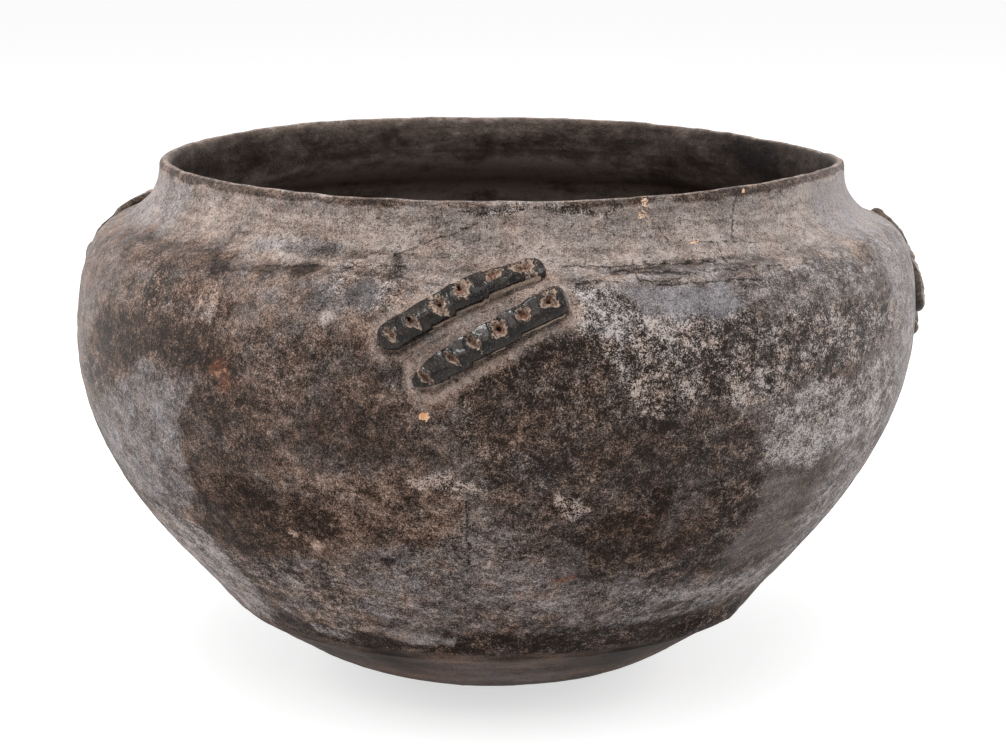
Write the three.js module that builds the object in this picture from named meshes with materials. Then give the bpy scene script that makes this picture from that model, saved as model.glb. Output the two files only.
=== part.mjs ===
// A hand-built pottery cooking pot: a pressed base bowl, three rings of clay laid on it with bevelled laps,
// and four pairs of pinched clay strips luted to the shoulder.
// Millimetres, +Z up, the foot on z = 0, one pair of strips facing -Y.
// Azimuths are in degrees, 0 at the front (-Y), growing towards +X.

import * as THREE from "three";

// Body: radii are of the outside
const height = 187;
const footRadius = 31;
const bellyRadius = 150;
const bellyHeight = 129;
const baseSeamRadius = 94.2;
const baseSeamHeight = 27.6;
const lipRadius = 121.7;
const neckSpread = 12.1; // from the lip out to the root of the neck
const neckDepth = 21.2; // from the lip down to the root of the neck

// Slopes of the outside, in degrees from level; past 90 the wall leans inwards
const footSlope = 13;
const baseSlope = 32;
const wallSlope = 52;
const bellySlope = 90;
const neckRootSlope = 145;
const lipSlope = 88;

// How long each arc of the outside holds the slope it leaves and arrives with, as shares of its reach
const footPull = 0.58;
const baseSeamPull = 0.6;
const wallPull = 0.21;
const bellyPullBelow = 0.42;
const bellyPullAbove = 1.03;
const neckRootPull = 0.03;
const neckPull = 0.4;
const lipPull = 0.42;

// Wall
const baseThickness = 7;
const wallThickness = 5.6;
const lipThickness = 4;

// Joints between the rings
const lowerSeamHeight = 98;
const neckSeamRise = 5; // the neck's seam above the root of the neck
const lapLength = 7;
const seamGap = 0.3;

// Unevenness of hand building
const bodyLean = 2; // the lower body's greatest set towards -X
const leanSweep = Math.PI * 0.9; // the part of a sine's half wave that the lean follows from belly to foot
const rimLean = 2.3; // the rim's set towards +X
const rimWaveRise = 0.8; // of the strongest wave; the others have a share of it
const rimWaves = [
  { crests: 1, share: 0.8125, azimuth: -83 },
  { crests: 2, share: 1, azimuth: 34 },
  { crests: 3, share: 0.875, azimuth: 59 },
  { crests: 4, share: 0.375, azimuth: -36 },
  { crests: 5, share: 0.3125, azimuth: 0 },
];

// Pinched strips: each pair is an upper strip and a lower one, side by side
const stripWidth = 9.6;
const stripRise = 3.9;
const stripSlope = 30.4;
const stripBow = 5; // how much steeper the low end runs than the middle, in degrees
const stripSpacing = 15.6; // between the middles of a pair's strips, square to their run
const stripStagger = 2; // how far the lower strip is set on along its run
const upperStripLength = 55.5;
const lowerStripLength = 51.5;
const luteGap = 0.3; // between the strip's seat and the wall
const pinchSpacing = 8.8;
const pinchRadius = 2.8;
const pinchDepth = 1.6;
const pinchLimit = 0.6; // the deepest pinch, as a share of the strip's rise

// The strip's cross-section: 1 is a half circle, less is squarer
const stripSideRoundness = 0.8;
const stripCrownRoundness = 0.7;

// How far a pinch spreads the strip's edges and lowers its crest, as shares of its half width and rise
const upperEdgeSpread = 0.03;
const lowerEdgeSpread = 0.11;
const lowerEdgeStep = 0.06;
const crestDip = 0.06;

// How far down the wall from the neck's seam each pair's middle lies
const frontPairDrop = 25.8;
const rightPairDrop = 38;
const backPairDrop = 30;
const leftPairDrop = 25;

// A strip of hand 1 climbs towards +azimuth, one of hand -1 towards -azimuth.
const pairs = [
  { side: "front", azimuth: -3, drop: frontPairDrop, hand: 1 },
  { side: "right", azimuth: 96, drop: rightPairDrop, hand: 1 },
  { side: "back", azimuth: 176, drop: backPairDrop, hand: 1 },
  { side: "left", azimuth: -105, drop: leftPairDrop, hand: -1 },
];

// Mesh density
const segmentsRound = 64;
const facetTurn = THREE.MathUtils.degToRad(7);
const facetLength = 12;
const stripStations = 30;
const domePoints = 8;
const seatPoints = 3;

const radians = THREE.MathUtils.degToRad;
const { smoothstep, lerp } = THREE.MathUtils;

// A direction in the half section, at a slope from level.
function direction(slope) {
  return new THREE.Vector2(Math.cos(radians(slope)), Math.sin(radians(slope)));
}

// A cubic arc of the half section, leaving and arriving at given slopes with given pulls.
function arc(from, leaveSlope, leavePull, to, arriveSlope, arrivePull) {
  const leave = direction(leaveSlope).multiplyScalar(leavePull).add(from);
  const arrive = direction(arriveSlope).multiplyScalar(-arrivePull).add(to);
  return new THREE.CubicBezierCurve(from, leave, arrive, to);
}

// The outside of the pot, from the middle of the foot to the lip.
function outsideCurve() {
  const middle = new THREE.Vector2(0, 0);
  const foot = new THREE.Vector2(footRadius, 0);
  const seam = new THREE.Vector2(baseSeamRadius, baseSeamHeight);
  const belly = new THREE.Vector2(bellyRadius, bellyHeight);
  const root = new THREE.Vector2(lipRadius + neckSpread, height - neckDepth);
  const lip = new THREE.Vector2(lipRadius, height - lipThickness / 2);
  const baseReach = foot.distanceTo(seam);
  const wallReach = seam.distanceTo(belly);
  const shoulderReach = root.y - belly.y;
  const neckReach = root.distanceTo(lip);
  const curve = new THREE.CurvePath();
  curve.add(new THREE.LineCurve(middle, foot));
  curve.add(arc(foot, footSlope, footPull * baseReach, seam, baseSlope, baseSeamPull * baseReach));
  curve.add(arc(seam, wallSlope, wallPull * wallReach, belly, bellySlope, bellyPullBelow * wallReach));
  curve.add(
    arc(belly, bellySlope, bellyPullAbove * shoulderReach, root, neckRootSlope, neckRootPull * shoulderReach),
  );
  curve.add(arc(root, neckRootSlope, neckPull * neckReach, lip, lipSlope, lipPull * neckReach));
  return curve;
}

const outside = outsideCurve();
const outsideLength = outside.getLength();

// The point of the outside at a distance along it from the middle of the foot.
function outsideAt(distance) {
  return outside.getPoint(THREE.MathUtils.clamp(distance / outsideLength, 0, 1));
}

// The distance along the outside at which it reaches a height above the foot.
function distanceAtHeight(level) {
  let low = footRadius;
  let high = outsideLength;
  for (let i = 0; i < 40; i += 1) {
    const middle = (low + high) / 2;
    if (outsideAt(middle).y < level) low = middle;
    else high = middle;
  }
  return low;
}

// The outward normal of the half section. The chord that gives it spans a wall's thickness either way,
// so that the inside runs smoothly past the corner at the base seam.
function normalAt(distance) {
  const chord = outsideAt(distance + wallThickness).sub(outsideAt(distance - wallThickness)).normalize();
  return new THREE.Vector2(chord.y, -chord.x);
}

const baseSeam = distanceAtHeight(baseSeamHeight);
const lowerSeam = distanceAtHeight(lowerSeamHeight);
const neckSeam = distanceAtHeight(height - neckDepth + neckSeamRise);

function thicknessAt(distance) {
  const wall = lerp(baseThickness, wallThickness, smoothstep(distance, footRadius, baseSeam));
  return lerp(wall, lipThickness, smoothstep(distance, neckSeam, outsideLength));
}

function insideAt(distance) {
  return outsideAt(distance).addScaledVector(normalAt(distance), -thicknessAt(distance));
}

// Hand unevenness, the same for every piece so that the pieces stay seated:
// the body leans, and above the belly the wall rises and falls with the wave of the rim.
function handmade(geometry) {
  const place = geometry.attributes.position;
  for (let i = 0; i < place.count; i += 1) {
    const x = place.getX(i);
    const y = place.getY(i);
    const z = place.getZ(i);
    const azimuth = Math.atan2(x, -y);
    let wave = 0;
    for (const { crests, share, azimuth: crest } of rimWaves)
      wave += rimWaveRise * share * Math.cos(crests * (azimuth - radians(crest)));
    const below = Math.max(0, bellyHeight - z) / bellyHeight;
    const above = Math.max(0, z - bellyHeight) / (height - bellyHeight);
    place.setX(i, x - bodyLean * Math.sin(below * leanSweep) + rimLean * above);
    place.setZ(i, z + wave * smoothstep(z, bellyHeight, height));
  }
  geometry.computeVertexNormals();
  return geometry;
}

// Turns a closed half section round the pot's axis.
function turned(section) {
  return handmade(new THREE.LatheGeometry(section, segmentsRound).rotateX(Math.PI / 2));
}

// Points along one face of the wall, from one distance to another: a new one wherever
// the face has turned by a facet's turn or run a facet's length.
function along(faceAt, from, to) {
  const points = [faceAt(from)];
  const steps = Math.ceil(Math.abs(to - from));
  let heading = faceAt(lerp(from, to, 1 / steps)).sub(points[0]).angle();
  for (let i = 1; i < steps; i += 1) {
    const here = faceAt(lerp(from, to, i / steps));
    const ahead = faceAt(lerp(from, to, (i + 1) / steps)).sub(here).angle();
    const run = here.distanceTo(points.at(-1));
    const left = ((steps - i) / steps) * Math.abs(to - from);
    const turn = Math.abs(Math.sin(ahead - heading));
    if ((turn > Math.sin(facetTurn) || run > facetLength) && left > facetLength / 4 && run > facetLength / 4) {
      points.push(here);
      heading = ahead;
    }
  }
  points.push(faceAt(to));
  return points;
}

// Half the gap of a lap, measured along the wall: the bevel crosses the wall over the lap's length.
const lapShift = seamGap / 2 / Math.sin(Math.atan2(wallThickness, lapLength));

// A ring between two laps. Its lower bevel laps over the outside of the ring below.
function ring(from, to) {
  const outer = along(outsideAt, from + lapShift, to - lapShift);
  const inner = along(insideAt, to + lapLength - lapShift, from + lapLength + lapShift);
  return turned([...outer, ...inner, outer[0]]);
}

function baseBowl() {
  const outer = [outsideAt(0), ...along(outsideAt, footRadius, baseSeam - lapShift)];
  const inner = along(insideAt, baseSeam + lapLength - lapShift, 0);
  inner[inner.length - 1].x = 0;
  return turned([...outer, ...inner]);
}

function neckRim() {
  const outer = along(outsideAt, neckSeam + lapShift, outsideLength);
  const inner = along(insideAt, outsideLength, neckSeam + lapLength + lapShift);
  const lipCentre = outer.at(-1).clone().add(inner[0]).multiplyScalar(0.5);
  const spoke = outer.at(-1).clone().sub(lipCentre);
  const axis = new THREE.Vector2();
  const crown = [1, 2, 3].map((i) => spoke.clone().rotateAround(axis, (i * Math.PI) / 4).add(lipCentre));
  return turned([...outer, ...crown, ...inner, outer[0]]);
}

// A point proud of the outside wall, at an azimuth and a distance along the half section.
function onWall(azimuth, distance, proud) {
  const { x: radius, y: level } = outsideAt(distance).addScaledVector(normalAt(distance), proud);
  return new THREE.Vector3(radius * Math.sin(azimuth), -radius * Math.cos(azimuth), level);
}

// The centreline of a strip, as azimuth, distance and heading at each station from its low end to its high end.
function stripPath(middleAzimuth, middleDistance, length, hand) {
  const step = length / (stripStations - 1);
  const headingAt = (along) => radians(stripSlope - (stripBow * along) / (length / 2));
  const walk = (sign) => {
    const path = [];
    let azimuth = middleAzimuth;
    let distance = middleDistance;
    for (let along = step / 2; along <= length / 2 + 1e-6; along += step) {
      const stride = along === step / 2 ? step / 2 : step;
      const heading = headingAt(sign * (along - stride / 2));
      azimuth += (sign * hand * stride * Math.cos(heading)) / outsideAt(distance).x;
      distance += sign * stride * Math.sin(heading);
      path.push({ azimuth, distance, along: sign * along, heading: headingAt(sign * along) });
    }
    return path;
  };
  return [...walk(-1).reverse(), ...walk(1)];
}

// A pinched strip: a low loaf on the wall, swelling at each pinch, with a dimple where the finger pressed.
function strip(middleAzimuth, middleDistance, length, hand) {
  const path = stripPath(middleAzimuth, middleDistance, length, hand);
  const pinches = Math.floor((length - pinchSpacing / 2) / pinchSpacing) + 1;
  const firstPinch = (-(pinches - 1) * pinchSpacing) / 2;
  const points = [];
  const place = (station, across, proud) => {
    const { azimuth, distance, heading } = station;
    const radius = outsideAt(distance).x;
    const sideways = (hand * across * Math.sin(heading)) / radius;
    points.push(onWall(azimuth - sideways, distance + across * Math.cos(heading), luteGap + proud));
  };

  // How deep the dimples press into the strip at a place on it
  const dimple = (along, across) => {
    let depth = 0;
    for (let i = 0; i < pinches; i += 1) {
      const offset = Math.hypot(along - firstPinch - i * pinchSpacing, across);
      depth = Math.max(depth, pinchDepth * (1 - smoothstep(offset, 0, pinchRadius)));
    }
    return depth;
  };

  const inner = path.slice(1, -1);
  for (const station of inner) {
    const phase = (2 * Math.PI * (station.along - firstPinch)) / pinchSpacing;
    const fromEnd = (length / 2 - Math.abs(station.along)) / (stripWidth / 2);
    const round = Math.sqrt(1 - (1 - Math.min(1, fromEnd)) ** 2);
    const lobe = lowerEdgeSpread * Math.cos(phase) + lowerEdgeStep * Math.sin(2 * phase);
    const upper = round * (stripWidth / 2) * (1 + upperEdgeSpread * Math.cos(phase));
    const lower = round * (stripWidth / 2) * (1 + lobe);
    const rise = Math.sqrt(round) * stripRise * (1 - crestDip * Math.cos(phase));
    for (let i = 0; i <= domePoints; i += 1) {
      const turn = (Math.PI * i) / domePoints;
      const sway = Math.sign(Math.cos(turn)) * Math.abs(Math.cos(turn)) ** stripSideRoundness;
      const across = (turn < Math.PI / 2 ? upper : lower) * sway;
      const crest = rise * Math.sin(turn) ** stripCrownRoundness;
      place(station, across, crest - Math.min(dimple(station.along, across), pinchLimit * crest));
    }
    for (let i = 1; i <= seatPoints; i += 1) place(station, lerp(-lower, upper, i / (seatPoints + 1)), 0);
  }
  const around = domePoints + 1 + seatPoints;
  const stations = inner.length;
  const lowEnd = points.length;
  place(path[0], 0, stripRise / 8);
  place(path.at(-1), 0, stripRise / 8);

  const faces = [];
  const face = (a, b, c) => (hand > 0 ? faces.push(a, c, b) : faces.push(a, b, c));
  for (let j = 0; j < around; j += 1) {
    const next = (j + 1) % around;
    for (let i = 0; i < stations - 1; i += 1) {
      const here = i * around;
      const there = here + around;
      face(here + j, there + j, there + next);
      face(here + j, there + next, here + next);
    }
    const last = (stations - 1) * around;
    face(lowEnd, j, next);
    face(lowEnd + 1, last + next, last + j);
  }
  const geometry = new THREE.BufferGeometry().setFromPoints(points);
  geometry.setIndex(faces);
  return handmade(geometry);
}

// Fired clay: smoked grey-brown body, pale lime-crusted neck, burnished black strips
const clays = {
  base: { color: 0x5a4f48, roughness: 0.75 },
  wall: { color: 0x5f5751, roughness: 0.85 },
  shoulder: { color: 0x7d736b, roughness: 0.88 },
  neck: { color: 0x9a908a, roughness: 0.9 },
  strip: { color: 0x2c2a2a, roughness: 0.45 },
};

const pot = new THREE.Group();

function add(name, geometry, clay) {
  const mesh = new THREE.Mesh(geometry, new THREE.MeshStandardMaterial({ ...clays[clay], metalness: 0 }));
  mesh.name = name;
  pot.add(mesh);
}

add("base_bowl", baseBowl(), "base");
add("lower_wall", ring(baseSeam, lowerSeam), "wall");
add("shoulder_wall", ring(lowerSeam, neckSeam), "shoulder");
add("neck_rim", neckRim(), "neck");

// Within a pair the strips lie half the spacing either side of the pair's middle, square to their run,
// and half the stagger either way along it.
for (const { side, azimuth, drop, hand } of pairs) {
  const offset = new THREE.Vector2(-stripStagger / 2, stripSpacing / 2);
  offset.rotateAround(new THREE.Vector2(), radians(stripSlope));
  const middle = neckSeam - drop;
  const turn = (hand * offset.x) / outsideAt(middle).x;
  const upper = strip(radians(azimuth) + turn, middle + offset.y, upperStripLength, hand);
  const lower = strip(radians(azimuth) - turn, middle - offset.y, lowerStripLength, hand);
  add(`cordon_${side}_upper`, upper, "strip");
  add(`cordon_${side}_lower`, lower, "strip");
}

export default pot;
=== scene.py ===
"""The looks of a hand-built pottery cooking pot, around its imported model.

Lengths in this script are in millimetres and turn into metres where a mesh is made. Azimuths are in degrees,
0 at the front (-Y) and growing towards +X. A place on the wall is an azimuth and a height above the foot.
"""

import itertools
import math

import bpy
import numpy as np
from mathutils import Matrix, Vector


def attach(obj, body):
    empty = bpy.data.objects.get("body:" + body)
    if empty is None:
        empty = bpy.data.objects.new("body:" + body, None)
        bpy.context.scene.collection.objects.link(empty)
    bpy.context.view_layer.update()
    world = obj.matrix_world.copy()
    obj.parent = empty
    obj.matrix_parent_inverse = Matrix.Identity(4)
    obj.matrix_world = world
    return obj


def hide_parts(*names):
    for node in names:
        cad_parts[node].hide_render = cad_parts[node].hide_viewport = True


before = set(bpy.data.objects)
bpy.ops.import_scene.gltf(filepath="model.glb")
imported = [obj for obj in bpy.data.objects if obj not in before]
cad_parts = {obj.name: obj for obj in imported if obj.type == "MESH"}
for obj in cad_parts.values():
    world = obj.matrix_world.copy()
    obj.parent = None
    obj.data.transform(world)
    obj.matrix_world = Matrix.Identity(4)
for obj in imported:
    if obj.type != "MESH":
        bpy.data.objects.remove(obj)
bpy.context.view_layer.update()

METRE = 0.001

# The pot's outside, with the same values as its solids
HEIGHT = 187
FOOT_RADIUS = 31
BELLY_RADIUS = 150
BELLY_HEIGHT = 129
BASE_SEAM_RADIUS = 94.2
BASE_SEAM_HEIGHT = 27.6
LIP_RADIUS = 121.7
NECK_SPREAD = 12.1
NECK_DEPTH = 21.2
FOOT_SLOPE, BASE_SLOPE, WALL_SLOPE, NECK_ROOT_SLOPE, LIP_SLOPE = 13, 32, 52, 35, 88
BASE_THICKNESS, WALL_THICKNESS, LIP_THICKNESS = 7, 5.6, 4
LOWER_SEAM_HEIGHT = 98
NECK_SEAM_RISE = 5
LAP_LENGTH = 7
BODY_LEAN = 2
LEAN_REACH = 0.9  # the share of a half wave that the lean below the belly follows
RIM_LEAN = 2.3
RIM_WAVES = [(1, 0.65, -83), (2, 0.8, 34), (3, 0.7, 59), (4, 0.3, -36), (5, 0.25, 0)]  # crests, rise, azimuth

# The pinched strips
STRIP_WIDTH = 9.6
STRIP_RISE = 3.9
STRIP_SLOPE = 30.4
STRIP_BOW = 5
STRIP_SPACING = 15.6
STRIP_STAGGER = 2
STRIP_LENGTHS = {"upper": 55.5, "lower": 51.5}
PAIRS = [("front", -3, 25.8, 1), ("right", 96, 38, 1), ("back", 176, 30, 1), ("left", -105, 25, -1)]

COLUMNS = 1024  # mesh columns round the pot
AROUND = np.linspace(-math.pi, math.pi, COLUMNS, endpoint=False)


def smoothstep(x, low, high):
    t = np.clip((x - low) / (high - low), 0, 1)
    return t * t * (3 - 2 * t)


def lerp(a, b, t):
    return a + (b - a) * t


def direction(slope):
    return np.array([math.cos(math.radians(slope)), math.sin(math.radians(slope))])


def arc(start, leave_slope, leave_pull, end, arrive_slope, arrive_pull):
    """A cubic arc of the half section, leaving and arriving at given slopes."""
    t = np.linspace(0, 1, 400)[:, None]
    leave = start + leave_pull * direction(leave_slope)
    arrive = end - arrive_pull * direction(arrive_slope)
    return (1 - t) ** 3 * start + 3 * (1 - t) ** 2 * t * leave + 3 * (1 - t) * t * t * arrive + t**3 * end


def outside_points():
    """The outside from the middle of the foot to the lip, as close-set points of the half section."""
    foot = np.array([FOOT_RADIUS, 0.0])
    seam = np.array([BASE_SEAM_RADIUS, BASE_SEAM_HEIGHT])
    belly = np.array([BELLY_RADIUS, float(BELLY_HEIGHT)])
    root = np.array([LIP_RADIUS + NECK_SPREAD, HEIGHT - NECK_DEPTH])
    lip = np.array([LIP_RADIUS, HEIGHT - LIP_THICKNESS / 2])
    base_reach = np.linalg.norm(seam - foot)
    wall_reach = np.linalg.norm(belly - seam)
    shoulder_reach = root[1] - belly[1]
    neck_reach = np.linalg.norm(lip - root)
    arcs = [
        np.linspace([0, 0], foot, 30),
        arc(foot, FOOT_SLOPE, 0.58 * base_reach, seam, BASE_SLOPE, 0.6 * base_reach),
        arc(seam, WALL_SLOPE, 0.21 * wall_reach, belly, 90, 0.42 * wall_reach),
        arc(belly, 90, 1.03 * shoulder_reach, root, 180 - NECK_ROOT_SLOPE, 0.03 * shoulder_reach),
        arc(root, 180 - NECK_ROOT_SLOPE, 0.4 * neck_reach, lip, LIP_SLOPE, 0.42 * neck_reach),
    ]
    return np.vstack([arcs[0]] + [a[1:] for a in arcs[1:]])


PROFILE = outside_points()
RUN = np.concatenate([[0], np.cumsum(np.hypot(*np.diff(PROFILE, axis=0).T))])
LENGTH = RUN[-1]


def outside(distance):
    """Points of the half section at distances along it from the middle of the foot."""
    return np.stack([np.interp(distance, RUN, values) for values in PROFILE.T], axis=-1)


def distance_at(height):
    climb = RUN > FOOT_RADIUS
    return np.interp(height, PROFILE[climb, 1], RUN[climb])


def normal(distance):
    chord = outside(distance + WALL_THICKNESS) - outside(distance - WALL_THICKNESS)
    chord /= np.linalg.norm(chord, axis=-1, keepdims=True)
    return np.stack([chord[..., 1], -chord[..., 0]], axis=-1)


BASE_SEAM = float(distance_at(BASE_SEAM_HEIGHT))
LOWER_SEAM = float(distance_at(LOWER_SEAM_HEIGHT))
NECK_SEAM = float(distance_at(HEIGHT - NECK_DEPTH + NECK_SEAM_RISE))


def thickness(distance):
    wall = lerp(BASE_THICKNESS, WALL_THICKNESS, smoothstep(distance, FOOT_RADIUS, BASE_SEAM))
    return lerp(wall, LIP_THICKNESS, smoothstep(distance, NECK_SEAM, LENGTH))


def handmade(points):
    """The solids' unevenness: the body leans, and above the belly the wall follows the rim's wave."""
    x, y, z = points[..., 0], points[..., 1], points[..., 2]
    azimuth = np.arctan2(x, -y)
    wave = sum(rise * np.cos(crests * (azimuth - math.radians(crest))) for crests, rise, crest in RIM_WAVES)
    below = np.maximum(0, BELLY_HEIGHT - z) / BELLY_HEIGHT
    above = np.maximum(0, z - BELLY_HEIGHT) / (HEIGHT - BELLY_HEIGHT)
    leaned = x - BODY_LEAN * np.sin(below * math.pi * LEAN_REACH) + RIM_LEAN * above
    return np.stack([leaned, y, z + wave * smoothstep(z, BELLY_HEIGHT, HEIGHT)], axis=-1)


def turned(section, azimuth):
    """Half-section points, given as (..., 2), set round the axis at azimuths in radians."""
    out, up = section[..., 0], section[..., 1] + 0 * azimuth
    return np.stack([out * np.sin(azimuth), -out * np.cos(azimuth), up], axis=-1)


def turn_from(middle, azimuth):
    """The turn in radians from the middle to an azimuth, at most half a turn either way."""
    return (azimuth - middle + math.pi) % (2 * math.pi) - math.pi


def value_noise(points, size, seed):
    """Smooth noise from -1 to 1 whose features are about that many millimetres across."""
    q = points / size + 0.37 * seed
    cell = np.floor(q).astype(np.int64)
    f = q - cell
    f = f * f * f * (f * (f * 6 - 15) + 10)
    total = np.zeros(points.shape[:-1])
    for corner in itertools.product((0, 1), repeat=3):
        # Each corner of the cell gets its own chance value by scrambling its whole numbers
        x, y, z = np.moveaxis(cell + np.array(corner), -1, 0)
        key = (x * 73856093) ^ (y * 19349663) ^ (z * 83492791) ^ (seed * 2654435761)
        key = (key ^ (key >> 15)) * 2246822519
        key = (key ^ (key >> 13)) & 0xFFFF
        weight = np.prod(np.where(corner, f, 1 - f), axis=-1)
        total += weight * (key / 32767.5 - 1)
    return total


def fractal(points, size, octaves, seed, fade=0.55):
    """Noise of several sizes, each half as large and fade times as strong as the one before."""
    total, strength, whole = 0, 1, 0
    for i in range(octaves):
        total = total + strength * value_noise(points, size / 2**i, seed + i)
        whole += strength
        strength *= fade
    return total / whole


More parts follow.
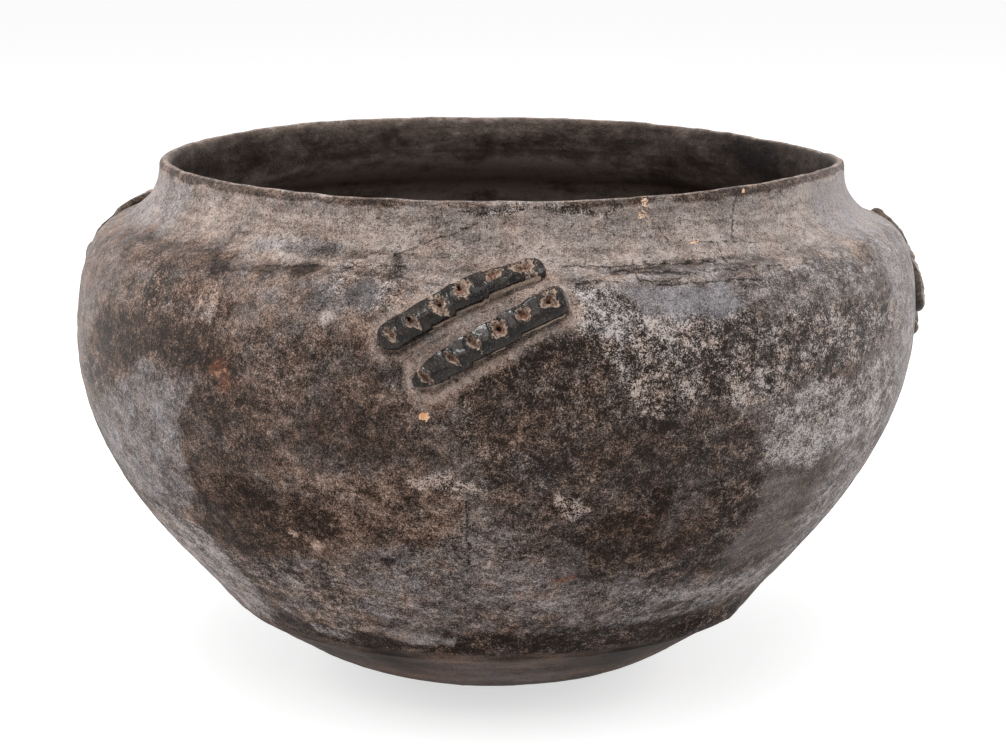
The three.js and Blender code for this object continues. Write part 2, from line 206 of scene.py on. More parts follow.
# What lies where on the outside, one zone over another. After its name each zone has its tone, how pale the
# clay is, lace, how broken up, warm and cool, how brown or blue-grey, and streak, how wiped along; then the
# softness of its edge in millimetres, how ragged the edge is, and each corner's azimuth and height.
ZONES = [
    # The four edge zones here are painted paler, as painted sheen where the pot's sides turn from the camera
    ("left edge of the shoulder", 0.5, 0.25, 0.35, 0.25, 0.2, 9, 1.5,
     -92, 165, -70, 166, -64, 150, -66, 120, -72, 100, -84, 76, -98, 90, -88, 120, -100, 146),
    ("right edge of the shoulder", 0.66, 0.32, 0.1, 0.6, 0.2, 9, 1.5,
     62, 166, 84, 166, 96, 150, 86, 132, 94, 112, 80, 96, 62, 99),
    ("left edge of the neck", 0.67, 0.27, 0.14, 0.39, 0.1, 6, 0.5,
     -100, 188, -58, 188, -60, 168, -100, 166),
    ("right edge of the neck", 0.78, 0.08, 0.03, 0.59, 0.1, 6, 0.5,
     56, 188, 100, 188, 100, 165, 58, 166),
    ("brown left shoulder", 0.42, 0.27, 0.6, 0.3, 0.2, 3, 1,
     -74, 167, -60, 168.5, -38, 167.5, -13, 166.5, -13, 140, -40, 140, -62, 143, -76, 150),
    ("dark upper left streak", 0.26, 0.37, 0.74, 0.26, 0.5, 2.5, 1,
     -64, 167, -40, 166.5, -37, 162, -48, 159.5, -64, 161),
    ("tan drips left", 0.3, 0.47, 0.82, 0.18, 0.1, 2, 1,
     -58, 158, -50, 157, -44, 158, -36, 157, -35, 146, -42, 144, -50, 142, -57, 146),
    ("dark drip", 0.02, 0.79, 0.92, 0.08, 0, 1, 1,
     -51, 161, -48.5, 161, -48, 147, -50.5, 145),
    ("dark drip right", 0.43, 0.46, 0.76, 0.24, 0, 1, 1,
     -41, 160, -38.5, 160, -38.5, 146, -40.5, 145),
    ("speckled shoulder", 0.43, 0.27, 0.5, 0.3, 0.1, 3, 1,
     -35, 162, -24, 166, -13, 166.5, -14, 150, -22, 146, -34, 150),
    ("pale speckle by the strips", 0.46, 0.55, 0.4, 0.3, 0.2, 2, 1,
     -24, 168, -13, 168, -12, 158, -17, 156, -23, 161),
    ("left dark band", 0.11, 0.4, 1, 0, 0.4, 3, 0.8,
     -63, 144, -40, 146, -31, 141, -31, 132, -41, 130, -50, 134, -57, 125, -65, 118, -69, 127),
    ("left band low end", 0.15, 0.62, 0.59, 0.13, 0.2, 4, 0.8,
     -70, 128, -62, 126, -56, 118, -62, 112, -72, 116),
    ("left pale patch", 0.51, 0.39, 0.35, 0.6, 0.1, 2.5, 1,
     -66, 112, -58, 119, -50, 131, -41, 126, -40, 113, -43, 103, -44, 90, -47, 80, -51, 73.5, -60, 76, -70,
     84, -74, 98),
    ("left pale patch, brightest", 0.64, 0.35, 0.32, 0.64, 0.1, 3, 1,
     -64, 104, -56, 108, -52, 98, -50, 84, -56, 78, -64, 82, -68, 94),
    ("left pale patch, upper", 0.59, 0.3, 0.22, 0.63, 0.1, 2, 1,
     -50, 126, -42, 124, -41, 114, -46, 111, -51, 116),
    ("crease at the left", 0.52, 0.57, 0.12, 0.48, 0, 1, 0.6,
     -68, 80, -58, 74.5, -48, 73.3, -44, 72, -44, 70.5, -58, 71.5, -68, 76.5),
    ("brown column", 0.2, 0.44, 0.77, 0.23, 0.2, 2, 1,
     -43, 112, -40, 127, -31, 131, -25, 119, -22.5, 100, -25, 88, -30, 76, -42, 68, -47, 74, -44, 92),
    ("brown column, darkest", 0.15, 0.43, 0.94, 0.06, 0.3, 2.5, 1,
     -43, 103, -34, 104, -31, 94, -33, 84, -41, 82, -44, 92),
    ("brown under the strips", 0.3, 0.38, 0.69, 0.25, 0.2, 3, 1,
     -32, 148, -14, 148, -8, 140, -6, 128, -4, 112, -12, 104, -26, 106, -33, 118),
    ("dark in the brown", 0.21, 0.31, 0.77, 0.23, 0.2, 2.5, 1,
     -24, 128, -14, 128, -12, 114, -18, 109, -26, 112),
    ("tan speckle", 0.39, 0.51, 0.86, 0.14, 0.15, 3, 1,
     -27, 103, -12, 106, -4, 101, -3, 84, -2, 70, -12, 72, -22, 80, -24, 92),
    ("tan speckle, dark side", 0.1, 0.54, 1, 0, 0.1, 2, 1,
     -33, 90, -24, 92, -20, 82, -24, 74, -36, 66, -40, 70),
    # Painted paler partly as painted sheen at the left edge
    ("lower left grey", 0.69, 0.6, 0.22, 0.43, 0.5, 5, 1.5,
     -100, 76, -50, 71, -45, 66, -41, 54, -44, 42, -50, 34, -70, 32, -100, 32),
    ("lower left mottle", 0.4, 0.66, 0.53, 0.28, 0.5, 3, 1,
     -45, 66, -32, 70, -20, 66, -18, 50, -22, 38, -36, 36, -42, 42),
    ("dark spot low left", 0.38, 0.83, 0.46, 0.34, 0.3, 2, 1,
     -42, 62, -36, 62, -35, 55, -40, 53),
    ("speckled grey centre", 0.48, 0.49, 0.5, 0.45, 0.15, 4, 1,
     -20, 74, -8, 80, 0, 90, 7, 76, 12, 60, 30, 56, 44, 49, 40, 43, 10, 42, -10, 42, -22, 48, -22, 64),
    ("dark wedge", 0.16, 0.61, 0.53, 0.23, 0.2, 2.5, 1,
     -5, 146, 6, 151, 14, 147, 18, 136, 23, 124, 32, 118, 35.5, 100, 40, 98, 44, 82, 40, 63, 28, 59, 15, 66,
     12, 80, 3, 88, -1, 104, -5, 118),
    ("wedge, brown speckle", 0.18, 0.5, 0.7, 0.21, 0.1, 2, 1,
     -2, 136, 8, 132, 20, 118, 24, 106, 14, 104, 4, 112, -4, 124),
    ("wedge, lower brown", 0.3, 0.43, 0.59, 0.25, 0.15, 2.5, 1,
     0, 99, 14, 101, 20, 92, 12, 84, 2, 88),
    ("wedge, darkest", 0.17, 0.49, 0.84, 0.16, 0.2, 2.5, 1,
     14, 92, 26, 88, 33, 80, 30, 68, 20, 68, 13, 78),
    ("grey flecks in the wedge", 0.31, 0.34, 0.53, 0.38, 0.3, 2, 1,
     24, 104, 30, 102, 30, 84, 26, 74, 22, 78, 23, 92),
    ("whitish streak", 0.54, 1.3, 0.44, 0.07, 0.3, 1, 1,
     -10.5, 106, -5, 105, -1.5, 103.5, -0.5, 100.8, -6, 100, -9, 102.5),
    ("fleck patch", 0.73, 1.3, 0.49, 0.15, 0, 1, 1,
     7.6, 97.5, 10.4, 97, 12.2, 92, 10.4, 88.6, 8.4, 90.5),
    ("lacy shoulder", 0.45, 1.07, 0.31, 0.19, 0.2, 1.6, 1,
     8, 162, 18, 160, 32, 153, 42, 152, 42, 132, 37, 124, 31, 122, 25, 125, 20, 122, 17, 127, 14, 138, 9,
     147),
    ("lacy by the strips", 0.55, 0.88, 0.06, 0.47, 0.1, 1.4, 1,
     8, 161, 14, 161, 17, 152, 15, 143, 11, 148, 8, 152),
    ("lacy, dark hole", 0.34, 1.1, 0.35, 0.35, 0.2, 1.6, 1,
     21, 147, 30, 150, 33, 140, 28, 133, 22, 137),
    ("streaked band", 0.35, 0.86, 0.25, 0.25, 1, 2, 1,
     27, 151, 60, 150, 63, 137, 46, 128, 37, 129, 30, 138),
    ("pale band", 0.58, 0.73, 0.05, 0.4, 0.5, 1, 1.2,
     34, 119, 44, 127, 64, 127, 70, 112, 66, 99.8, 36, 99.4, 35, 108),
    ("pale band, brightest", 0.79, 0.77, 0, 0.53, 0.4, 2, 1,
     40, 112, 60, 113, 63, 101, 46, 100.5, 39, 104),
    ("blue-grey cloud", 0.61, 0.14, 0.09, 0.91, 0.3, 2.5, 1,
     14, 162, 30, 162.5, 34, 156, 28, 151.5, 18, 153.5),
    ("right under the neck", 0.47, 0.41, 0.16, 0.44, 0.7, 2.5, 1,
     31, 163, 58, 162, 62, 150, 33, 150),
    ("wiped neck foot", 0.56, 0.24, 0.19, 0.31, 1, 2, 1,
     12, 168, 36, 166.5, 42, 163.5, 14, 163.5),
    ("right dark grey", 0.44, 0.15, 0.14, 0.3, 0.4, 4, 1.3,
     37, 98.6, 56, 99, 57, 84, 51, 66, 42, 60, 36, 68, 40, 84),
    # These two zones grow paler towards the right edge, partly as painted sheen
    ("right dark grey, fading", 0.6, 0.43, 0, 0.53, 0.5, 8, 1.3,
     54, 99, 68, 99, 80, 84, 72, 54, 56, 50, 50, 62, 54, 84),
    ("right lower edge", 0.66, 0.5, 0.1, 0.5, 0.4, 7, 1.5,
     64, 97, 80, 98, 92, 84, 84, 70, 94, 56, 86, 36, 66, 36, 62, 60),
    ("lower right mottle", 0.58, 0.64, 0.15, 0.59, 0.5, 3, 1,
     22, 58, 40, 56, 58, 54, 60, 44, 46, 41.5, 24, 42),
    ("dark in the mottle", 0.32, 0.47, 0.31, 0.39, 0.6, 2, 1,
     29, 50, 38, 48, 38, 43, 30, 42),
    ("tan low centre", 0.42, 0.59, 0.56, 0.34, 0.2, 2, 1,
     -6, 52, 12, 50, 14, 42, 4, 41, -6, 44),
    ("black band", -0.02, 0.85, 0.6, 0.2, 0.4, 2, 1,
     -8, 40.5, 8, 39, 24, 41, 40, 39.5, 54, 41, 62, 36, 56, 30.8, 0, 30.8, -12, 33),
    ("black band, pale breaks", -0.02, 0.69, 0.5, 0.17, 0.2, 1.5, 1,
     12, 39, 20, 39.5, 24, 36, 20, 33, 13, 34),
    ("crust edge, left", 0.54, 0.85, 0.09, 0.61, 0.1, 1.4, 1,
     -37, 38, -30, 39, -27, 35, -31, 32.6, -36, 33),
    ("crust edge, middle", 0.67, 0.42, 0.27, 0.38, 0.1, 1.4, 1,
     -23, 41, -14, 39.5, -5, 38.6, -6, 34.2, -16, 33.4),
    ("dark over the base, left", 0.04, 0.67, 0.79, 0.01, 0.3, 1.5, 1,
     -50, 34, -38, 34, -24, 33.6, -6, 33, -6, 30.5, -30, 30.5, -50, 31),
    ("soot under the lip", 0.34, 1.15, 0.15, 0.2, 0.1, 1.2, 1,
     -6, 188, 18, 188, 17.5, 184.4, 14, 184, 8, 182.8, 0, 183, -5, 184.4),
    ("soot under the lip, right", 0.36, 0.9, 0.3, 0.1, 0.4, 1, 1,
     42, 188, 54, 188, 53, 184.4, 45, 184),
    ("speckle on the neck, left", 0.59, 0.3, 0.14, 0.36, 0.5, 1, 1,
     -38, 174, -24, 174.5, -22, 171, -30, 170.4, -38, 171),
]
# Small marks: (layer, value, azimuth, height, half width, half height, tilt in degrees, softness)
MARKS = [
    ("rust", 1, -35.2, 131, 9, 6.5, -20, 0.9),
    ("rust", 0.8, -36, 127.5, 2.5, 2.5, 0, 0.8),
    ("chip", 1, -9.4, 123.5, 1.9, 1.5, 0, 0.3),
    ("rust", 1, 11.2, 65, 4, 1.4, 0, 0.3),
    ("tone", 0.14, -33.5, 165.4, 5, 3, -10, 0.5),
    ("tone", 0.06, -28, 166.2, 4.2, 3.8, 0, 0.4),
    ("tone", 0.26, -26, 171.4, 5.4, 2.6, 0, 0.6),
    ("tone", 0.1, -40, 164.8, 5, 3, 5, 0.5),
    ("tone", 0.3, -21, 169.4, 5, 0.9, 0, 0.7),
    ("tone", 0.18, -14.6, 167.6, 1.5, 4.2, 10, 0.6),
    ("tone", 0.64, -38.8, 154.8, 1.3, 5, -15, 0.8),
    ("tone", 0.6, -41.5, 152.5, 1.2, 5, -15, 0.8),
    ("tone", 0.1, -43.8, 148, 2, 5, -15, 0.7),
    ("tone", 0.1, -50.5, 157.5, 2.8, 4, -15, 0.7),
    ("tone", 0.16, -36, 153, 1.5, 3.4, -12, 0.7),
    ("tone", 0.12, -37.8, 147, 1.2, 5, -12, 0.8),
    ("tone", 0.38, -17.2, 161.6, 5, 5, 5, 0.4),
    ("lace", 0.2, -17.2, 161.6, 5, 5, 5, 0.4),
    ("cool", 0.7, -17.2, 161.6, 5, 5, 5, 0.4),
    ("tone", 0.38, -22.4, 160.6, 4, 4.6, 0, 0.5),
    ("cool", 0.7, -22.4, 160.6, 4, 4.6, 0, 0.5),
    ("tone", 0.85, -28.2, 78, 1.8, 1.3, 0, 0.4),
    ("tone", 0.8, -24.6, 73, 2.6, 2.2, 0, 0.5),
    ("tone", 0.02, -14.5, 70.5, 2.6, 2.2, 0, 0.5),
    ("tone", 0.9, -21.3, 152.7, 2.4, 2.2, 0, 0.7),
    ("chip", 0.55, -18.5, 154, 1.6, 1.2, 0, 0.5),
    ("tone", 0.3, 24, 167.4, 26, 0.8, -2, 0.6),
    ("tone", 0.38, -22, 170.5, 22, 0.7, 1, 0.9),
    ("chip", 1, 38.5, 184.6, 0.9, 1.1, 0, 0.4),
    ("chip", 0.8, 28.8, 172.3, 1.5, 0.5, 0, 0.4),
    ("chip", 0.42, 21.5, 182.6, 2.4, 1.8, 0, 0.4),
]
# Cracks and scratches: azimuth and height of both ends, and half the width
CRACKS = [
    (39.2, 186.5, 38, 180, 0.3), (38, 180, 36.4, 172.5, 0.2), (29, 172.2, 40, 170.5, 0.2),
    (33.4, 171.8, 32.6, 166, 0.3), (-33, 165.2, -23, 166.3, 0.3), (-21, 166.5, -12.5, 167.2, 0.25),
    (24.5, 177, 25.2, 173.5, 0.2), (-14.5, 170.3, -7.2, 176, 0.25), (-7.2, 176, -2.3, 180.5, 0.2),
    (9, 167.6, 31, 166.6, 0.3), (15, 165.6, 40, 164.2, 0.3), (10, 163.8, 24, 163.5, 0.25),
    (20, 162.4, 36, 161.4, 0.25), (-3.8, 96, -3.7, 73, 0.3), (-67, 79.5, -45, 71.5, 0.4),
    (19, 168.5, 18.4, 163.5, 0.35),
]
ZONE_LAYERS = ("tone", "lace", "warm", "cool", "streak")
LAYERS = (*ZONE_LAYERS, "rust", "chip")
CHANCE_SEED, CHANCE_COUNT = 17, 22
CHANCE_RANGES = ((0, 0.65), (0.3, 0.9), (0.2, 0.9), (0, 0.5), (0.1, 0.5))  # of the zone layers


def chance_zones():
    """Zones of cover on the sides that the photo doesn't show, set by chance."""
    random = np.random.default_rng(CHANCE_SEED)
    zones = []
    for _ in range(CHANCE_COUNT):
        azimuth, height = random.uniform(112, 248), random.uniform(45, 158)
        values = [random.uniform(low, high) for low, high in CHANCE_RANGES]
        wide, tall = random.uniform(8, 30), random.uniform(8, 26)
        corners = []
        for turn in np.linspace(0, 2 * math.pi, 9)[:-1]:
            across = wide * random.uniform(0.6, 1.2) * math.cos(turn)
            up = tall * random.uniform(0.6, 1.2) * math.sin(turn)
            corners += [azimuth + across, min(height + up, 168)]
        zones.append(("set by chance", *values, random.uniform(2, 5), 1, *corners))
    return zones


def strip_path(azimuth, distance, length, hand, stations):
    """The centreline of a strip: azimuth, distance, heading and place along it at each station."""
    step = length / (stations - 1)

    def heading(along):
        return math.radians(STRIP_SLOPE - STRIP_BOW * along / (length / 2))

    def walk(sign):
        path, a, d, along = [], azimuth, distance, 0.0
        stride = step / 2
        while along + stride <= length / 2 + 1e-6:
            slope = heading(sign * (along + stride / 2))
            a += sign * hand * stride * math.cos(slope) / outside(d)[0]
            d += sign * stride * math.sin(slope)
            along += stride
            path.append((a, d, heading(sign * along), sign * along))
            stride = step
        return path

    return np.array(walk(-1)[::-1] + walk(1))


def strip_middles():
    """The middle of each strip: name, azimuth in radians, distance, length and hand."""
    turn = math.radians(STRIP_SLOPE)
    across = -STRIP_STAGGER / 2 * math.cos(turn) - STRIP_SPACING / 2 * math.sin(turn)
    up = -STRIP_STAGGER / 2 * math.sin(turn) + STRIP_SPACING / 2 * math.cos(turn)
    found = []
    for side, azimuth, drop, hand in PAIRS:
        middle = NECK_SEAM - drop
        shift = hand * across / outside(middle)[0]
        for level, sign in (("upper", 1), ("lower", -1)):
            found.append((f"cordon_{side}_{level}", math.radians(azimuth) + sign * shift, middle + sign * up,
                          STRIP_LENGTHS[level], hand))
    return found


def near_strips(azimuth, distance):
    """How far places are from the nearest strip's centreline, and how far below it, in millimetres."""
    nearest = np.full(azimuth.shape, 1e3)
    below = np.zeros(azimuth.shape)
    for _, middle, level, length, hand in strip_middles():
        for a, d, _, _ in strip_path(middle, level, length - STRIP_WIDTH, hand, 14):
            reach = np.hypot(turn_from(a, azimuth) * outside(d)[0], distance - d)
            below = np.where(reach < nearest, d - distance, below)
            nearest = np.minimum(nearest, reach)
    return nearest, below


def depth_in_zone(azimuth, distance, warp_u, warp_v, corners):
    """How far inside a zone's outline places are, in millimetres, and less than 0 outside it."""
    corner_azimuths = np.radians(corners[::2])
    levels = distance_at(np.array(corners[1::2], float))
    middle = corner_azimuths.mean()
    u = turn_from(middle, azimuth) * BELLY_RADIUS + warp_u
    v = distance + warp_v
    ends = np.stack([(corner_azimuths - middle) * BELLY_RADIUS, levels], axis=-1)
    nearest = np.full(u.shape, 1e3)
    crossings = np.zeros(u.shape, int)
    for (u0, v0), (u1, v1) in zip(ends, np.roll(ends, -1, axis=0)):
        du, dv = u1 - u0, v1 - v0
        along = np.clip(((u - u0) * du + (v - v0) * dv) / max(du * du + dv * dv, 1e-6), 0, 1)
        nearest = np.minimum(nearest, np.hypot(u - u0 - along * du, v - v0 - along * dv))
        spans = (v0 > v) != (v1 > v)
        crossings += spans & (u < u0 + (v - v0) * du / (dv or 1))
    return np.where(crossings % 2 == 1, nearest, -nearest)


def lay(cover, share, **values):
    """Lays these layers' values over a cover, as far as the share says."""
    for layer, value in values.items():
        cover[layer] = lerp(cover[layer], value, share)


def first_cover(azimuth, height, points):
    """The cover before zones and marks: the body, the pale neck and the brown base."""
    drift = fractal(points, 60, 3, 11)
    patches = fractal(points, 20, 3, 191)
    brown = np.clip(0.45 + 0.5 * fractal(points, 45, 2, 41), 0, 1)
    neck = smoothstep(height, 158, 171)
    base = smoothstep(height, 34, 29)
    left = 0.5 - 0.5 * np.sin(azimuth)
    cover = {name: np.zeros(height.shape) for name in LAYERS}
    cover["tone"] = lerp(0.4 + 0.15 * drift, 0.7 - 0.06 * left + 0.08 * drift, neck)
    cover["tone"] -= 0.3 * np.exp(-(((height - 35) / 4) ** 2))
    cover["lace"] = 0.4 * (1 - base) * (1 - 0.5 * neck)
    cover["warm"] = lerp(brown, 0.05 + 0.3 * left, np.maximum(neck, base))
    cover["cool"] = np.clip(0.3 + 0.5 * fractal(points, 50, 2, 51), 0, 1) * (1 - neck)
    cover["streak"] = 0.2 + 0.4 * smoothstep(height, 120, 140)
    pale_foot = np.exp(-(((height - 14) / 5) ** 2)) * (1 - neck)
    base_tone = 0.23 + 0.2 * drift + 0.22 * patches + 0.26 * pale_foot
    lay(cover, base, tone=base_tone, warm=0.7 + 0.5 * patches, streak=0.5)
    return cover


def paint(azimuth, distance, points):
    """The layers of cover at places on the outside."""
    warp_u = 5 * fractal(points, 22, 3, 21) + 1.2 * fractal(points, 5, 2, 27)
    warp_v = 5 * fractal(points, 22, 3, 31) + 1.2 * fractal(points, 5, 2, 37)
    cover = first_cover(azimuth, outside(distance)[..., 1], points)
    for _, *numbers in [*chance_zones(), *ZONES]:
        values, (soft, ragged), corners = numbers[:5], numbers[5:7], numbers[7:]
        depth = depth_in_zone(azimuth, distance, warp_u * ragged, warp_v * ragged, corners)
        lay(cover, smoothstep(depth, -soft, soft), **dict(zip(ZONE_LAYERS, values)))
    for layer, value, at_azimuth, at_height, half_width, half_height, tilt, soft in MARKS:
        level = float(distance_at(at_height))
        u = turn_from(math.radians(at_azimuth), azimuth) * outside(level)[0] + warp_u
        v = distance - level + warp_v
        c, s = direction(tilt)
        reach = np.hypot((c * u + s * v) / half_width, (c * v - s * u) / half_height)
        lay(cover, 1 - smoothstep(reach, 1 - soft, 1 + soft), **{layer: value})
    # Pale slip smeared round the strips, and a dark line of painted shade and dirt where they meet the wall
    from_strip, below_strip = near_strips(azimuth, distance)
    halo = smoothstep(from_strip + 0.6 * warp_u, 10.5, 6.5)
    lay(cover, halo, tone=0.72, lace=0.2, streak=0, warm=0.45, cool=0)
    crease_shade = np.exp(-(((from_strip - 5.5) / 0.8) ** 2))
    # The painted shade is darkest below the strips
    cover["tone"] -= crease_shade * (0.06 + 0.35 * smoothstep(below_strip, 0.5, 2.5))
    # The dark line under the lip
    sooty = LENGTH - 0.2 + 0.3 * warp_u
    lay(cover, 0.8 * smoothstep(distance, sooty - 0.6, sooty + 0.1), tone=0.16, lace=0.35, warm=0.6, cool=0)
    return cover


# How pale the smoked inside is at heights from its floor to the lip
INSIDE_HEIGHTS = (10, 100, 150, 161, 167, 173, 178, 181.5, 185)
# The paler tones from 173 mm down to 150 mm are partly painted light, against the shade deep inside
INSIDE_TONES = (0.42, 0.5, 0.84, 1, 0.92, 0.64, 0.4, 0.5, 0.64)


def inside_tone(azimuth, points):
    """How pale the smoked inside is, with painted shade on its wall at the right and a little at the left."""
    height = points[..., 2]
    tone = np.interp(height + 3 * fractal(points, 30, 2, 171), INSIDE_HEIGHTS, INSIDE_TONES)
    # Painted shade on the upper inner wall at the right, and a little at the left
    rightwards = 180 - np.degrees(azimuth) % 360
    painted_shade = 0.38 * smoothstep(rightwards, 5, 55) * smoothstep(rightwards, 175, 95)
    painted_shade = painted_shade + 0.08 * smoothstep(rightwards, -30, -60) * smoothstep(rightwards, -175, -130)
    tone = tone - painted_shade * smoothstep(height, 70, 150)
    return tone + 0.34 * fractal(points * np.array([0.5, 0.5, 1.2]), 18, 4, 181)


def relief(azimuth, distance, points, cover):
    """How far the outside stands proud of the profile: lumps, scraping, crust and the seam's ledge."""
    lumps = 0.22 * fractal(points, 24, 3, 61) + 0.07 * fractal(points, 5, 2, 71)
    scraping = 0.1 * fractal(points * np.array([0.25, 0.25, 1.6]), 7, 2, 81)
    crust = 0.16 * smoothstep(cover["tone"] + 0.5 * fractal(points, 4, 2, 91), 0.45, 0.75)
    seam = BASE_SEAM + 3 + 3 * fractal(points, 26, 3, 101)
    above = distance - seam
    ledge = 0.55 * smoothstep(above, -0.6, 0.8) * smoothstep(above, 16, 2)
    turn = np.degrees(azimuth)
    right = smoothstep(turn, 34, 44) * smoothstep(turn, 66, 58)
    lump = 1.3 * right * smoothstep(above, -0.8, 1) * smoothstep(above, 9, 4)
    return lumps + scraping + crust + ledge + lump


def grid_faces(rows, columns):
    """Quads of a grid that closes round its columns."""
    i = np.arange(rows - 1)[:, None] * columns
    j = np.arange(columns)[None, :]
    k = (j + 1) % columns
    quads = np.stack([i + j, i + k, i + columns + k, i + columns + j], axis=-1)
    return quads.reshape(-1, 4)


def fan(middle, first, columns, outwards):
    """Triangles from a middle vertex to a ring of vertices, facing up the rows or down them."""
    j = np.arange(columns)
    k = (j + 1) % columns
    ring = (first + j, first + k) if outwards else (first + k, first + j)
    return np.stack([np.full(columns, middle), *ring], axis=-1)


def add_object(name, data):
    made = bpy.data.objects.new(name, data)
    bpy.context.scene.collection.objects.link(made)
    return made


def make_mesh(name, points, quads, triangles=()):
    """A mesh from millimetre points, four-sided faces and triangles."""
    mesh = bpy.data.meshes.new(name)
    triangles = np.asarray(triangles, np.int64).reshape(-1, 3)
    corners = np.concatenate([quads.ravel(), triangles.ravel()]).astype(np.int32)
    starts = np.concatenate([np.arange(len(quads)) * 4, len(quads) * 4 + np.arange(len(triangles)) * 3])
    mesh.vertices.add(len(points))
    mesh.vertices.foreach_set("co", (points * METRE).astype(np.float32).ravel())
    mesh.loops.add(len(corners))
    mesh.loops.foreach_set("vertex_index", corners)
    mesh.polygons.add(len(starts))
    mesh.polygons.foreach_set("loop_start", starts.astype(np.int32))
    mesh.update(calc_edges=True)
    mesh.validate()
    mesh.shade_smooth()
    return add_object(name, mesh)


def crease_rows(mesh, rows):
    """Keeps the shading of these rows of vertices apart on their two sides."""
    ends = np.empty(len(mesh.edges) * 2, np.int32)
    mesh.edges.foreach_get("vertices", ends)
    row = ends.reshape(-1, 2) // COLUMNS
    sharp = (row[:, 0] == row[:, 1]) & np.isin(row[:, 0], rows)
    attribute = mesh.attributes.get("sharp_edge") or mesh.attributes.new("sharp_edge", "BOOLEAN", "EDGE")
    held = np.empty(len(mesh.edges), bool)
    attribute.data.foreach_get("value", held)
    attribute.data.foreach_set("value", held | sharp)


def add_layer(mesh, name, values):
    attribute = mesh.attributes.new(name, "FLOAT", "POINT")
    attribute.data.foreach_set("value", values.astype(np.float32).ravel())


def wall_rows(outer, inner, upper_lap, lower_lap, crown):
    """A wall piece's rows round its half section: distance outside, distance inside, depth into the wall.

    They run up the outside, over the lap or the lip, down the inside and over the lap underneath."""
    rows = [(d, d, 0.0) for d in np.linspace(*outer)]
    if crown:
        rows += [(LENGTH, LENGTH, t) for t in (1 - np.cos(np.linspace(0, math.pi, 13)[1:-1])) / 2]
    elif upper_lap:
        rows += [(outer[1], inner[0], t) for t in np.linspace(0, 1, upper_lap + 2)[1:-1]]
    rows += [(d, d, 1.0) for d in np.linspace(*inner)]
    if lower_lap:
        rows += [(outer[0], inner[1], t) for t in np.linspace(1, 0, lower_lap + 2)[1:-1]]
    return np.array(rows).T


def wall_section(from_outer, from_inner, depth, crown):
    """The half-section points of a wall piece's rows."""
    start = outside(from_outer)
    end = outside(from_inner) - normal(from_inner) * thickness(from_inner)[:, None]
    section = lerp(start, end, depth[:, None])
    if crown:
        lip = (from_outer == LENGTH) & (depth > 0) & (depth < 1)
        section[lip, 1] += np.sqrt(1 - (2 * depth[lip] - 1) ** 2) * LIP_THICKNESS / 2
    return section


def wall_piece(name, outer, inner, upper_lap, lower_lap, crown=False):
    """A piece of the wall. outer and inner are (from, to, rows), and the laps are their numbers of rows.

    Where the lower lap is None, the piece closes on the axis instead, and a crown ends in the lip."""
    from_outer, from_inner, depth = wall_rows(outer, inner, upper_lap, lower_lap, crown)
    distance = lerp(from_outer, from_inner, depth)
    section = wall_section(from_outer, from_inner, depth, crown)
    azimuth = np.broadcast_to(AROUND, (len(depth), COLUMNS))
    smooth = handmade(turned(section[:, None, :], azimuth))
    grid_distance = np.broadcast_to(distance[:, None], azimuth.shape)
    cover = paint(azimuth, grid_distance, smooth)
    if crown:
        # The crown of the lip is painted paler, a painted highlight along the top of the rim
        crown_highlight = (smoothstep(depth, 0.14, 0.3) * smoothstep(depth, 0.85, 0.65))[:, None]
        lay(cover, crown_highlight, tone=0.6, warm=0.3)
    inner_share = smoothstep(depth, 0.55, 0.95)[:, None]
    lay(cover, inner_share, tone=inside_tone(azimuth, smooth))
    cover["inside"] = np.broadcast_to(inner_share, azimuth.shape)
    proud = relief(azimuth, grid_distance, smooth, cover)
    wiped = fractal(smooth * np.array([0.3, 0.3, 1.5]), 8, 2, 121)
    hollow = 0.3 * fractal(smooth, 28, 3, 111) + 0.12 * wiped
    shown = np.clip(1 - depth * 2, 0, 1)[:, None]
    hidden = np.clip(depth * 2 - 1, 0, 1)[:, None]
    shift = proud * shown - hollow * hidden
    # The foot stays flat
    foot = smoothstep(grid_distance, FOOT_RADIUS - 12, FOOT_RADIUS + 14)
    shift = np.where(depth[:, None] < 0.5, shift * foot, shift)
    points = smooth + turned(normal(distance)[:, None, :], azimuth) * shift[..., None]
    points[..., 2] += 0.4 * fractal(smooth, 9, 2, 161) * smoothstep(grid_distance, LENGTH - 4, LENGTH)
    flat = points.reshape(-1, 3)
    quads = grid_faces(len(depth), COLUMNS)
    last = (len(depth) - 1) * COLUMNS
    triangles = ()
    if lower_lap:
        j = np.arange(COLUMNS)
        k = (j + 1) % COLUMNS
        quads = np.vstack([quads, np.stack([last + j, last + k, k, j], axis=-1)])
    else:
        poles = np.array([[0, 0, 0], [0, 0, thickness(np.array(0.0))]])
        middle = len(flat)
        flat = np.vstack([flat, handmade(poles + [1e-6, 0, 0])])
        triangles = np.vstack([fan(middle, 0, COLUMNS, False), fan(middle + 1, last, COLUMNS, True)])
    piece = make_mesh(name, flat, quads, triangles)
    first_inner = len(depth) - inner[2] - (lower_lap or 0)
    sharp = [] if crown else [outer[2] - 1, first_inner]
    if lower_lap:
        sharp += [0, first_inner + inner[2] - 1]
    crease_rows(piece.data, sharp)
    for layer, values in cover.items():
        values = values.ravel()
        if not lower_lap:
            ends = [0, 1] if layer == "inside" else [values[0], values[0]]
            values = np.concatenate([values, ends])
        add_layer(piece.data, layer, values)
    return piece


